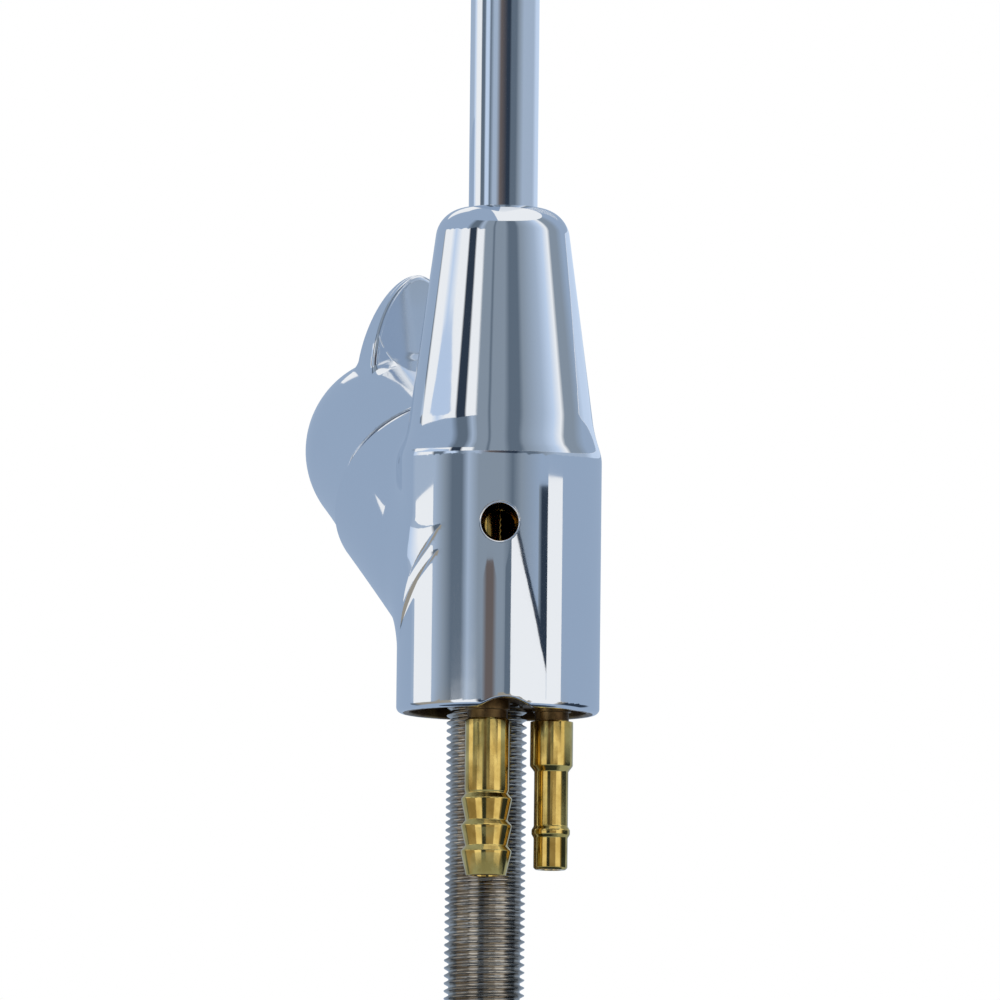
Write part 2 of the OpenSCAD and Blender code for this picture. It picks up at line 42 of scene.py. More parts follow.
# View of the photograph
# The camera stands far off on the air gap side, a little below the horizontal, so the rim of the
# foot shows from underneath, and it leans by a fraction of a degree.
view_distance = 1.6
view_height = 0.138
view_drop = math.radians(5.5)
view_lean = math.radians(0.61)
view_aim = Vector((0.0, 0.0, 0.0296))
view_back = Vector((0, math.cos(view_drop), -math.sin(view_drop)))
camera_data = bpy.data.cameras.new("view")
camera_data.lens = camera_data.sensor_width * view_distance / view_height
camera_data.clip_start = 0.1
camera_data.clip_end = 30
camera = bpy.data.objects.new("view", camera_data)
camera.matrix_world = (Matrix.Translation(view_aim + view_back * view_distance)
                       @ view_back.to_track_quat("Z", "Y").to_matrix().to_4x4()
                       @ Matrix.Rotation(view_lean, 4, "Z"))
bpy.context.scene.collection.objects.link(camera)
bpy.context.scene.camera = camera

# Body
# One brass casting, polished and chromed: a cylindrical foot, a flare, a cone with a rounded top,
# and the inclined valve branch, which runs into the foot with a cast fillet. The rim, the weep
# notch, the air gap hole and the spout's socket are machined in it.
foot_r = 14.0
foot_h = 35.5
flare_top = 39.0
flare_slope = 1.1 / 3.5
cone_slope = 0.134
body_h = 70.0
top_round = 3.6
rim_round = 0.8
underside_r = 12.2
underside_depth = 10.0
notch_r = 5.25
notch_h = 1.25
notch_x = -1.0
vent_z = 25.3
vent_r = 2.6
vent_inner_r = 2.05
vent_depth = 4.5
socket_r = 4.81
socket_z = 50.0
chamber_top = 34.0
chamber_slot = 2.2
drain_x, drain_y = 1.4, 5.3
feed_x, feed_y = -7.45, 2.0
branch_turn = math.radians(62)
branch_rise = math.radians(34)
branch_z = 18.8
branch_len = 25.0
branch_root_r = 13.5
branch_r = 14.1
web_slope = math.radians(4.5)
valve_r = 9.5
seat_s = 9.0
casting_fillet = 2.0
machined_edge = 0.3


def round_meet(a, b, radius):
    """What two shapes share, with the edge between them rounded."""
    reach = np.hypot(np.maximum(a + radius, 0), np.maximum(b + radius, 0))
    return np.minimum(np.maximum(a, b), -radius) + reach


def round_join(a, b, radius):
    """Two shapes as one, with a fillet between them."""
    return -round_meet(-a, -b, radius)


def round_cut(a, b, radius):
    """The first shape less the second, with the edge rounded."""
    return round_meet(a, -b, radius)


def eased_step(t, width):
    """Zero before 0 and t after it, with a smooth change over the width."""
    return np.where(t < -width, 0, np.where(t > width, t, (t + width) ** 2 / (4 * width)))


def along_branch(p):
    """Points in the branch's own frame: down across it, sideways, and out along it."""
    out = math.cos(branch_turn), -math.sin(branch_turn)
    rho = p[:, 0] * out[0] + p[:, 1] * out[1]
    side = -p[:, 0] * out[1] + p[:, 1] * out[0]
    z = p[:, 2] - branch_z
    down = rho * math.sin(branch_rise) - z * math.cos(branch_rise)
    return down, side, rho * math.cos(branch_rise) + z * math.sin(branch_rise)


def outer_radius(z):
    """The straight foot, the short flare and the long cone, with soft bends between them."""
    straight_and_flare = foot_r - flare_slope * eased_step(z - foot_h, 0.8)
    return straight_and_flare + (flare_slope - cone_slope) * eased_step(z - flare_top, 1.5)


def body_shape(p):
    r = np.hypot(p[:, 0], p[:, 1])
    z = p[:, 2]
    wall = outer_radius(z)
    lean = np.where(z < foot_h, 1.0, math.cos(math.atan(cone_slope)))
    solid = round_meet((r - wall) * lean, z - body_h, top_round)
    solid = round_meet(solid, -z, rim_round)
    down, side, s = along_branch(p)
    bore = np.hypot(down, side)
    taper = (branch_r - branch_root_r) / branch_len
    branch = np.maximum(bore - branch_root_r - taper * np.clip(s, 0, branch_len), -s)
    branch = np.maximum(branch, s - branch_len - 0.5)
    turn_s = s - branch_len
    turn_down = down - branch_r
    web_down = turn_down * math.cos(web_slope) + turn_s * math.sin(web_slope) + branch_root_r
    web_s = turn_s * math.cos(web_slope) - turn_down * math.sin(web_slope)
    web = np.maximum(np.hypot(web_down, side) - branch_root_r, np.abs(web_s + branch_len / 2) - branch_len / 2)
    branch = round_join(branch, web, casting_fillet)
    solid = round_join(solid, branch, casting_fillet)
    solid = round_cut(solid, np.maximum(bore - branch_r - 0.4, branch_len - s), 0.35)
    solid = round_cut(solid, np.maximum(bore - valve_r, seat_s - s), machined_edge)
    solid = round_cut(solid, np.maximum(r - underside_r, z - underside_depth), machined_edge)
    arch = np.hypot(p[:, 0] - notch_x, z - notch_h + notch_r) - notch_r
    solid = round_cut(solid, np.maximum(arch, -p[:, 1]), machined_edge)
    span = math.hypot(drain_x - feed_x, drain_y - feed_y)
    ux, uy = (drain_x - feed_x) / span, (drain_y - feed_y) / span
    along = np.clip((p[:, 0] - feed_x) * ux + (p[:, 1] - feed_y) * uy, 0, span)
    slot = np.hypot(p[:, 0] - feed_x - along * ux, p[:, 1] - feed_y - along * uy) - chamber_slot
    chamber = np.minimum(slot, np.hypot(p[:, 0] - drain_x, p[:, 1] - drain_y) - 3.2)
    chamber = np.minimum(chamber, np.hypot(p[:, 0] - feed_x, p[:, 1] - feed_y) - 2.9)
    chamber = np.maximum(chamber, np.maximum(z - chamber_top, underside_depth - 0.5 - z))
    solid = round_cut(solid, chamber, 0.1)
    mouth = vent_inner_r + (vent_r - vent_inner_r) * np.clip((p[:, 1] - foot_r) / vent_depth + 1, 0, 1.2)
    vent = np.maximum(np.hypot(p[:, 0], z - vent_z) - mouth, drain_y - p[:, 1])
    solid = round_cut(solid, vent, machined_edge)
    return round_cut(solid, np.maximum(r - socket_r, socket_z - z), 0.5)


def inside_body(p):
    """True in the bores and the chamber, away from the vent's mouth and the rim."""
    down, side, s = along_branch(p)
    bored = (np.hypot(down, side) < valve_r + 0.5) & (s < branch_len - 0.6)
    hollow = np.hypot(p[:, 0], p[:, 1]) < outer_radius(p[:, 2]) - 1.6
    hollow &= (p[:, 2] > 1.5) & (p[:, 2] < body_h - top_round)
    return (bored | hollow) & ((np.hypot(p[:, 0], p[:, 2] - vent_z) > vent_r + 1) | (p[:, 1] < drain_y))


def outward(points, shape):
    """Direction in which the shape's distance grows fastest."""
    h = 0.002
    steps = [np.array([h if i == k else 0.0 for i in range(3)]) for k in range(3)]
    slope = np.stack([shape(points + step) - shape(points - step) for step in steps], 1)
    return slope / np.maximum(np.linalg.norm(slope, axis=1), 1e-9)[:, None]


def settle(points, shape, reach):
    """Moves points straight onto the surface of the shape."""
    for _ in range(4):
        step = np.clip(shape(points), -reach, reach)
        points = points - step[:, None] * outward(points, shape)
    return points


def ease(points, triangles, shape, reach, share):
    """Evens the triangles out along the surface."""
    ends = np.concatenate([triangles[:, [0, 1]], triangles[:, [1, 2]], triangles[:, [2, 0]]])
    count = np.bincount(ends[:, 0], minlength=len(points))[:, None]
    total = np.stack([np.bincount(ends[:, 0], points[ends[:, 1], k], len(points)) for k in range(3)], 1)
    return settle(points + share * (total / count - points), shape, reach)


def split_bends(points, triangles, shape, bend, shortest, hidden):
    """Halves each edge across which the surface turns by more than the bend, less finely where hidden."""
    corners = triangles[:, [[0, 1], [1, 2], [2, 0]]]
    low, high = corners.min(2).ravel(), corners.max(2).ravel()
    _, first, back = np.unique(low * len(points) + high, return_index=True, return_inverse=True)
    a, b = low[first], high[first]
    normal = outward(points, shape)
    turns = (normal[a] * normal[b]).sum(1) < math.cos(bend)
    length = np.linalg.norm(points[a] - points[b], axis=1)
    marked = turns & (length > np.where(hidden((points[a] + points[b]) / 2), 0.45, shortest))
    middle = np.full(len(a), -1)
    middle[marked] = len(points) + np.arange(marked.sum())
    points = np.concatenate([points, settle((points[a] + points[b])[marked] / 2, shape, shortest)])
    middle = middle[back.reshape(-1)].reshape(-1, 3)
    count = (middle >= 0).sum(1)
    made = [triangles[count == 0]]
    for k in range(3):
        i = [k, (k + 1) % 3, (k + 2) % 3]
        p, q, r = (triangles[:, c] for c in i)
        pq, qr, rp = (middle[:, c] for c in i)
        one = (count == 1) & (pq >= 0)
        made += [np.stack(t, 1)[one] for t in ((p, pq, r), (pq, q, r))]
        two = (count == 2) & (pq < 0)
        made += [np.stack(t, 1)[two] for t in ((rp, qr, r), (p, q, qr), (p, qr, rp))]
    p, q, r = triangles.T
    pq, qr, rp = middle.T
    every = count == 3
    made += [np.stack(t, 1)[every] for t in ((p, pq, rp), (pq, q, qr), (rp, qr, r), (pq, qr, rp))]
    return points, np.concatenate(made)


def cast_skin(name, shape, hidden, low, high, cell, bend, shortest):
    """Closed mesh of a shape given by its distance in millimetres, finer where it bends."""
    axes = [np.arange(a, b + cell, cell) for a, b in zip(low, high)]
    grid = np.stack(np.meshgrid(*axes, indexing="ij"), -1)
    solid = shape(grid.reshape(-1, 3)).reshape(grid.shape[:3]) < 0
    nx, ny, nz = (n - 1 for n in solid.shape)
    filled = sum(solid[i:nx + i, j:ny + j, k:nz + k].astype(int)
                 for i in (0, 1) for j in (0, 1) for k in (0, 1))
    index = np.full(filled.shape, -1)
    crossed = (filled > 0) & (filled < 8)
    index[crossed] = np.arange(crossed.sum())
    points = grid[:nx, :ny, :nz][crossed] + cell / 2
    quads = []
    for axis in range(3):
        one, two = (axis + 1) % 3, (axis + 2) % 3
        here = np.moveaxis(solid, (axis, one, two), (0, 1, 2))
        cells = np.moveaxis(index, (axis, one, two), (0, 1, 2))
        change = here[:-1, 1:-1, 1:-1] != here[1:, 1:-1, 1:-1]
        ring = [cells[:, :-1, :-1], cells[:, 1:, :-1], cells[:, 1:, 1:], cells[:, :-1, 1:]]
        quad = np.stack([c[change] for c in ring], 1)
        flip = ~here[:-1, 1:-1, 1:-1][change]
        quad[flip] = quad[flip][:, ::-1]
        quads.append(quad)
    quads = np.concatenate(quads)
    triangles = np.concatenate([quads[:, [0, 1, 2]], quads[:, [0, 2, 3]]])
    points = settle(points, shape, cell)
    for _ in range(6):
        points = ease(points, triangles, shape, cell, 0.6)
    for _ in range(4):
        points, triangles = split_bends(points, triangles, shape, bend, shortest, hidden)
        points = ease(points, triangles, shape, cell / 2, 0.4)
    mesh = bpy.data.meshes.new(name)
    mesh.from_pydata((points * MM).tolist(), [], triangles.tolist())
    mesh.shade_smooth()
    mesh.normals_split_custom_set_from_vertices(outward(points, shape).tolist())
    piece = bpy.data.objects.new(name, mesh)
    bpy.context.scene.collection.objects.link(piece)
    print(name, len(triangles), "triangles")
    return piece


def bright_chrome(name, tint, smear, waviness):
    """Polished chrome plate: faint smears in its gloss and a slow waviness left by the polishing."""
    material = bpy.data.materials.new(name)
    material.use_nodes = True
    nodes, links = material.node_tree.nodes, material.node_tree.links
    shader = nodes["Principled BSDF"]
    shader.inputs["Base Color"].default_value = (*tint, 1)
    shader.inputs["Metallic"].default_value = 1
    place = nodes.new("ShaderNodeTexCoord")
    wipe = nodes.new("ShaderNodeTexNoise")
    wipe.inputs["Scale"].default_value = 90
    wipe.inputs["Detail"].default_value = 5
    links.new(place.outputs["Object"], wipe.inputs["Vector"])
    gloss = nodes.new("ShaderNodeMapRange")
    gloss.inputs["From Min"].default_value = 0.35
    gloss.inputs["From Max"].default_value = 0.7
    gloss.inputs["To Min"].default_value = smear[0]
    gloss.inputs["To Max"].default_value = smear[1]
    links.new(wipe.outputs["Fac"], gloss.inputs["Value"])
    links.new(gloss.outputs["Result"], shader.inputs["Roughness"])
    polish = nodes.new("ShaderNodeTexNoise")
    polish.inputs["Scale"].default_value = 160
    polish.inputs["Detail"].default_value = 1
    links.new(place.outputs["Object"], polish.inputs["Vector"])
    bump = nodes.new("ShaderNodeBump")
    bump.inputs["Strength"].default_value = waviness
    bump.inputs["Distance"].default_value = 0.0002
    links.new(polish.outputs["Fac"], bump.inputs["Height"])
    links.new(bump.outputs["Normal"], shader.inputs["Normal"])
    return material


def turned_metal(name, tint, dull, roughness, ring_depth, patches):
    """Bare or plated metal off the lathe: fine rings from the tool and cloudy dull patches."""
    material = bpy.data.materials.new(name)
    material.use_nodes = True
    nodes, links = material.node_tree.nodes, material.node_tree.links
    shader = nodes["Principled BSDF"]
    shader.inputs["Metallic"].default_value = 1
    place = nodes.new("ShaderNodeTexCoord")
    cloud = nodes.new("ShaderNodeTexNoise")
    cloud.inputs["Scale"].default_value = patches
    cloud.inputs["Detail"].default_value = 6
    links.new(place.outputs["Object"], cloud.inputs["Vector"])
    blend = nodes.new("ShaderNodeValToRGB")
    blend.color_ramp.elements[0].position = 0.38
    blend.color_ramp.elements[0].color = (*dull, 1)
    blend.color_ramp.elements[1].position = 0.62
    blend.color_ramp.elements[1].color = (*tint, 1)
    links.new(cloud.outputs["Fac"], blend.inputs["Fac"])
    links.new(blend.outputs["Color"], shader.inputs["Base Color"])
    gloss = nodes.new("ShaderNodeMapRange")
    gloss.inputs["To Min"].default_value = roughness[1]
    gloss.inputs["To Max"].default_value = roughness[0]
    links.new(cloud.outputs["Fac"], gloss.inputs["Value"])
    links.new(gloss.outputs["Result"], shader.inputs["Roughness"])
    rings = nodes.new("ShaderNodeTexWave")
    rings.bands_direction = "Z"
    rings.inputs["Scale"].default_value = 2200
    rings.inputs["Distortion"].default_value = 0.6
    links.new(place.outputs["Object"], rings.inputs["Vector"])
    bump = nodes.new("ShaderNodeBump")
    bump.inputs["Strength"].default_value = ring_depth
    bump.inputs["Distance"].default_value = 0.00005
    links.new(rings.outputs["Fac"], bump.inputs["Height"])
    links.new(bump.outputs["Normal"], shader.inputs["Normal"])
    return material


bare_brass = turned_metal("bare_brass", (0.82, 0.60, 0.19), (0.60, 0.41, 0.11), (0.05, 0.15), 0.06, 420)
# A much darker copy of the bare brass: painted shade for the hollow under the foot, the core's lower face and the barb
# necks.
shaded_brass = turned_metal("shaded_brass", (0.26, 0.17, 0.07), (0.14, 0.08, 0.035), (0.3, 0.5), 0.12, 420)
plate_depth = 0.9
body_casting = cast_skin("body_casting", body_shape, inside_body, (-15.13, -40.13, -1.13), (26, 15, 71), 0.8, 0.085, 0.12)
body_casting.data.materials.append(bright_chrome("body_chrome", (0.80, 0.83, 0.87), (0.02, 0.06), 0.05))
body_casting.data.materials.append(bare_brass)
body_casting.data.materials.append(shaded_brass)
centres = np.empty(3 * len(body_casting.data.polygons))
body_casting.data.polygons.foreach_get("center", centres)
x, y, z = centres.reshape(-1, 3).T / MM
down, side, along = along_branch(np.stack([x, y, z], -1))
inside = (np.hypot(x, y) < outer_radius(z) - plate_depth) & (z < body_h - 2 * top_round)
inside |= (np.hypot(down, side) < valve_r + 0.2) & (along > seat_s) & (along < branch_len - 0.5)
# Faces in the bores get the bare brass under the plating; faces in the hollow under the foot get the darkened brass,
# which is painted shade.
body_casting.data.polygons.foreach_set("material_index", np.where(inside & (z < underside_depth + 0.5), 2, inside))
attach(body_casting, "faucet")
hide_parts("body")

# Handle
# A domed cap cast in one with its lever, a flat tongue, and chromed like the body. A groove is
# scooped out of the crown behind the lever, the rim is relieved on the lever's side, and a set
# screw under the cap holds it on the square of the stem.
rim_s = 25.15
cap_rim_r = 13.9
dome_r = 13.4
dome_s = 35.85
cap_bore_r = 10.8
relief_depth = 0.4
relief_half_span = math.radians(75)
lever_half_w = 7.5
lever_h = 13.2
lever_root = 2.2
lever_power = 1.8
lever_thick = 5.2
lever_tip_thick = 2.2
lever_rho = dome_s * math.cos(branch_rise) - 5.5
lever_base_z = branch_z + dome_s * math.sin(branch_rise) + dome_r - lever_root
lever_edge = 0.8
scoop_r = 7.0
scoop_down = 18.85
boss_r = 5.45
boss_s = 28.2
square_half = 2.35
stem_top = 37.85
screw_s = 31.8
screw_hole_r = 2.03


def lever_shape(rho, side, z):
    """Tongue with a superelliptic outline, thinner towards its tip."""
    h = z - lever_base_z
    across = np.abs(side) / lever_half_w
    up = np.maximum(h, 1e-6) / lever_h
    size = np.maximum((across ** lever_power + up ** lever_power) ** (1 / lever_power), 1e-3)
    steep = size ** (1 - lever_power)
    grow_side = steep * np.maximum(across, 1e-6) ** (lever_power - 1) / lever_half_w
    grow_up = np.where(h > 0, steep * up ** (lever_power - 1) / lever_h, 0)
    outline = (size - 1) / np.maximum(np.hypot(grow_side, grow_up), 0.02)
    thick = lever_thick + (lever_tip_thick - lever_thick) * h / lever_h
    u = rho - lever_rho
    slab = np.maximum(-u, (u - thick) * 0.975)
    return np.maximum(round_meet(outline, slab, lever_edge), -h - lever_root)


def handle_shape(p):
    down, side, s = along_branch(p)
    bore = np.hypot(down, side)
    skirt = bore - dome_r - (cap_rim_r - dome_r) * np.clip((dome_s - s) / (dome_s - rim_s), 0, 1.3) ** 2
    cap = np.where(s < dome_s, skirt, np.hypot(bore, s - dome_s) - dome_r)
    rho = p[:, 0] * math.cos(branch_turn) - p[:, 1] * math.sin(branch_turn)
    solid = round_join(cap, lever_shape(rho, side, p[:, 2]), 1.0)
    scoop = np.maximum(np.hypot(down + scoop_down, side) - scoop_r, rho - lever_rho)
    solid = round_cut(solid, scoop, 0.35)
    turn = np.abs(np.arctan2(side, -down))
    inside_span = np.clip((relief_half_span - turn) * bore + 0.5, 0, 1)
    solid = round_meet(solid, rim_s + relief_depth * inside_span - s, 0.35)
    hollow = np.where(s < dome_s, bore, np.hypot(bore, s - dome_s)) - cap_bore_r
    hollow = np.maximum(hollow, np.minimum(boss_r - bore, s - boss_s))
    solid = round_cut(solid, hollow, 0.2)
    square = np.maximum(np.maximum(np.abs(down), np.abs(side)) - square_half, s - stem_top)
    solid = round_cut(solid, np.maximum(square, boss_s - 2 - s), 0.15)
    screw_hole = np.maximum(np.hypot(side, s - screw_s) - screw_hole_r, -down)
    return round_cut(solid, screw_hole, 0.2)


def inside_cap(p):
    down, side, s = along_branch(p)
    return (np.hypot(down, side) < cap_bore_r + 0.5) & (s < dome_s + cap_bore_r) & (s > rim_s + 1)


handle_casting = cast_skin("handle_casting", handle_shape, inside_cap, (-6.2, -44, 19), (32, -6, 65), 0.7, 0.085, 0.12)
handle_casting.data.materials.append(bright_chrome("handle_chrome", (0.80, 0.83, 0.87), (0.05, 0.10), 0.05))
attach(handle_casting, "handle")
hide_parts("handle")

# Set screw
# A short steel grub screw with a hexagon socket, in the underside of the cap.
plated_steel = turned_metal("plated_steel", (0.42, 0.42, 0.42), (0.30, 0.30, 0.31), (0.25, 0.4), 0.1, 300)
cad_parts["set_screw"].data.materials.clear()
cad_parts["set_screw"].data.materials.append(plated_steel)

# Shank
# A nickel plated tube with a rolled 7/16-24 thread from its chamfered end up into the core. The
# mounting nut and the supply nut run on it.
shank_x, shank_y = 1.5, -4.7
shank_r = 5.555
shank_bore_r = 3.5
shank_end = -62.0
shank_shoulder = 1.45
shank_top = 8.0
shank_spigot_r = 4.95
shank_chamfer = 0.7
thread_pitch = 25.4 / 24
thread_depth = 0.62
thread_columns = 64


def shank_mesh():
    """Rows of points that climb with the thread, closed by the spigot, the bore and the end."""
    phases = (0.0, 0.06, 0.14, 0.42, 0.48, 0.62, 0.68, 0.96)
    depths = (0.03, 0.0, 0.03, 0.95, 1.0, 1.0, 0.95, 0.08)
    turn = np.arange(thread_columns + 1) / thread_columns
    first = math.floor(shank_end / thread_pitch) - 2
    last = math.ceil(shank_shoulder / thread_pitch) + 2
    rows = []
    for k in range(first, last):
        for phase, depth in zip(phases, depths):
            z = (k + phase + turn) * thread_pitch
            r = np.full_like(z, shank_r - depth * thread_depth)
            r = np.minimum(r, shank_r - shank_chamfer + np.maximum(z - shank_end, 0))
            r = np.where(z >= shank_shoulder, shank_spigot_r, r)
            rows.append(np.stack([r, np.clip(z, shank_end, shank_shoulder)]))
    for r, z in ((shank_spigot_r, shank_top), (shank_bore_r, shank_top), (shank_bore_r, shank_end)):
        rows.append(np.stack([np.full_like(turn, r), np.full_like(turn, z)]))
    rows.append(rows[0])
    r, z = np.stack(rows, 1)
    angle = 2 * math.pi * turn
    points = np.stack([shank_x + r * np.cos(angle), shank_y + r * np.sin(angle), z], -1) * MM
    mesh = bpy.data.meshes.new("threaded_shank")
    wide = thread_columns + 1
    faces = [(i * wide + j, i * wide + j + 1, (i + 1) * wide + j + 1, (i + 1) * wide + j)
             for i in range(len(rows) - 1) for j in range(thread_columns)]
    mesh.from_pydata(points.reshape(-1, 3).tolist(), [], faces)
    return mesh


def finish_mesh(mesh, crease, weld=1e-7):
    """Welds the seam, drops flat faces and shades smooth up to the crease angle."""
    form = bmesh.new()
    form.from_mesh(mesh)
    bmesh.ops.remove_doubles(form, verts=form.verts, dist=weld)
    bmesh.ops.dissolve_degenerate(form, edges=form.edges, dist=weld)
    bmesh.ops.recalc_face_normals(form, faces=form.faces)
    form.to_mesh(mesh)
    form.free()
    mesh.shade_smooth()
    mesh.set_sharp_from_angle(angle=math.radians(crease))
    piece = bpy.data.objects.new(mesh.name, mesh)
    bpy.context.scene.collection.objects.link(piece)
    return piece


shank = finish_mesh(shank_mesh(), 40)
shank.data.materials.append(turned_metal("nickel_plate", (0.56, 0.52, 0.46), (0.38, 0.34, 0.29), (0.10, 0.2), 0.1, 160))
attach(shank, "faucet")
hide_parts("shank")

# Core
# A brass plug turned to fit the underside of the foot. The shank and both barbs are fixed in it,
# and its lower face lies just inside the rim.
# The core takes the darkened brass, which is painted shade in the hollow under the foot; the riser keeps the bare
# brass.
for name, metal in (("core", shaded_brass), ("riser", bare_brass)):
    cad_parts[name].data.materials.clear()
    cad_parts[name].data.materials.append(metal)

# Barbs
# Two brass fittings off the lathe: the wide drain barb with three sharp rings, and the thin feed
# barb with a collar and one low ring. Both stand on spigots in the core.
barb_columns = 72
corner_steps = 3


def eased(outline, radius):
    """The outline with each corner rounded as far as its sides allow."""
    points = [Vector(p) for p in outline]
    made = []
    for i, corner in enumerate(points):
        before, after = points[i - 1] - corner, points[(i + 1) % len(points)] - corner
        reach = min(radius, 0.45 * before.length, 0.45 * after.length)
        start, end = corner + before.normalized() * reach, corner + after.normalized() * reach
        for k in range(corner_steps + 1):
            t = k / corner_steps
            made.append(start * (1 - t) ** 2 + corner * 2 * t * (1 - t) + end * t ** 2)
    return made


def turned(name, outline, x, y):
    """Closed lathe form from an outline of radii and heights, about an upright axis."""
    mesh = bpy.data.meshes.new(name)
    count = len(outline)
    points = [(MM * (x + p[0] * math.cos(a)), MM * (y + p[0] * math.sin(a)), MM * p[1])
              for a in (2 * math.pi * j / barb_columns for j in range(barb_columns)) for p in outline]
    faces = [(j * count + i, (j + 1) % barb_columns * count + i,
              (j + 1) % barb_columns * count + (i + 1) % count, j * count + (i + 1) % count)
             for j in range(barb_columns) for i in range(count)]
    mesh.from_pydata(points, [], faces)
    barb = finish_mesh(mesh, 30)
    barb.data.materials.append(bare_brass)
    barb.data.materials.append(shaded_brass)
    # Faces above neck_low, meaning the neck groove and the spigot in the core, take the darkened brass: painted shade
    # under the foot.
    for face in barb.data.polygons:
        face.material_index = int(MM * neck_low < face.center.z)
    return barb


# Height on the barbs above which the darkened brass paints shade.
neck_low = -1.1


drain_r, drain_root, drain_tip, drain_bore = 3.05, 2.75, 3.5, 2.0
drain_rings = (12.1, 15.8, 19.3)
drain_end = -22.7
spigot_top = 7.6
drain_outline = [(drain_bore, spigot_top), (drain_bore, drain_end), (drain_root, drain_end)]
for drop in reversed(drain_rings):
    drain_outline += [(drain_tip - 0.05, -drop - 0.35), (drain_tip, -drop), (drain_r - 0.15, 0.75 - drop)]
drain_outline += [(drain_r, -11.0), (drain_r, -1.2), (drain_root, -1.2), (drain_root, 0.1), (drain_r, 0.1),
                  (drain_r, 1.45), (drain_root, 1.45), (drain_root, spigot_top)]
drain_barb = turned("drain_hose_barb", eased(drain_outline, 0.12), drain_x, drain_y)
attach(drain_barb, "faucet")
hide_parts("drain_barb")

feed_r, feed_collar, feed_tip, feed_bore = 2.35, 2.95, 2.65, 1.4
feed_end = -21.6
feed_outline = [
    (feed_bore, spigot_top), (feed_bore, feed_end), (feed_r - 0.3, feed_end), (feed_r, feed_end + 0.3),
    (feed_r, -17.2), (feed_tip, -16.7), (feed_tip, -16.1), (feed_r, -15.6), (feed_r, -8.1),
    (feed_collar, -7.3), (feed_collar, -1.2), (feed_r, -1.2), (feed_r, 0.1), (feed_collar - 0.3, 0.1),
    (feed_collar - 0.3, 1.45), (feed_r - 0.3, 1.45), (feed_r - 0.3, spigot_top)]
feed_barb = turned("feed_hose_barb", eased(feed_outline, 0.12), feed_x, feed_y)
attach(feed_barb, "faucet")
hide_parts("feed_barb")

# Valve stack
# The quarter turn cartridge in the branch: brass sleeve, stem and bonnet nut, two ground ceramic
# discs and black rubber seals. None of it shows unless the cap comes off.
for name in ("cartridge", "bonnet_nut", "stem", "spout_nipple"):
    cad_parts[name].data.materials.clear()
    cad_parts[name].data.materials.append(bare_brass)
ground_ceramic = bpy.data.materials.new("ground_ceramic")
black_rubber = bpy.data.materials.new("black_rubber")
for material, tint, low, high in ((ground_ceramic, (0.88, 0.86, 0.80), 0.15, 0.3), (black_rubber, (0.02, 0.02, 0.02), 0.5, 0.75)):
    material.use_nodes = True
    nodes, links = material.node_tree.nodes, material.node_tree.links
    nodes["Principled BSDF"].inputs["Base Color"].default_value = (*tint, 1)
    grain = nodes.new("ShaderNodeTexNoise")
    grain.inputs["Scale"].default_value = 900
    spread = nodes.new("ShaderNodeMapRange")
    spread.inputs["To Min"].default_value = low
    spread.inputs["To Max"].default_value = high
    links.new(grain.outputs["Fac"], spread.inputs["Value"])
    links.new(spread.outputs["Result"], nodes["Principled BSDF"].inputs["Roughness"])
for name in ("fixed_disc", "turning_disc"):
    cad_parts[name].data.materials.clear()
    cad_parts[name].data.materials.append(ground_ceramic)
for name in ("core_gasket", "seat_seal", "cartridge_ring", "stem_ring", "spout_ring_low", "spout_ring_high"):
    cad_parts[name].data.materials.clear()
    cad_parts[name].data.materials.append(black_rubber)
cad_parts["spout_clip"].data.materials.clear()
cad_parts["spout_clip"].data.materials.append(plated_steel)

# Spout
# A gooseneck bent from thin steel tube and chromed. Its foot sits over the nipple in the body's
# socket, where it swivels, and its outlet end is cut square with eased edges.
spout_r = 4.76
spout_bore_r = 3.86
spout_foot = 58.5
spout_straight = 170.0
spout_bend_r = 60.0
spout_drop = 12.0
spout_columns = 96


def spout_path():
    """Stations of the tube's centre line with the direction it runs in, from foot to outlet."""
    rise = [(0, z, 0) for z in np.linspace(spout_foot, spout_straight, 24)]
    bend = [(spout_bend_r * (1 - math.cos(a)), spout_straight + spout_bend_r * math.sin(a), a)
            for a in np.linspace(0, math.pi, 121)[1:]]
    drop = [(2 * spout_bend_r, spout_straight - spout_drop * t, math.pi) for t in (0.25, 0.5, 0.75, 1)]
    return rise + bend + drop


def spout_mesh():
    path = spout_path()
    lip = 0.2
    stations = [(path[0], spout_r - lip, 0.0), (path[0], spout_r, lip)]
    stations += [(p, spout_r, 0.0) for p in path[1:-1]]
    stations += [(path[-1], spout_r, -lip), (path[-1], spout_r - 0.3 * lip, -0.3 * lip), (path[-1], spout_r - lip, 0.0)]
    stations += [(path[-1], spout_bore_r + lip, 0.0), (path[-1], spout_bore_r, -lip)]
    stations += [(p, spout_bore_r, 0.0) for p in path[-2:0:-1]]
    stations += [(path[0], spout_bore_r, 0.0)]
    points = []
    for (reach, z, a), r, shift in stations:
        reach, z = reach + shift * math.sin(a), z + shift * math.cos(a)
        for j in range(spout_columns):
            t = 2 * math.pi * j / spout_columns
            across = r * math.cos(t)
            points.append((MM * r * math.sin(t), -MM * (reach + across * math.cos(a)),
                           MM * (z - across * math.sin(a))))
    rings = len(stations)
    faces = [(i * spout_columns + j, i * spout_columns + (j + 1) % spout_columns,
              (i + 1) % rings * spout_columns + (j + 1) % spout_columns, (i + 1) % rings * spout_columns + j)
             for i in range(rings) for j in range(spout_columns)]
    mesh = bpy.data.meshes.new("gooseneck_tube")
    mesh.from_pydata(points, [], faces)
    return finish_mesh(mesh, 50)


spout = spout_mesh()
spout.data.materials.append(bright_chrome("spout_chrome", (0.80, 0.83, 0.87), (0.03, 0.07), 0.04))
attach(spout, "spout")
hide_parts("spout")

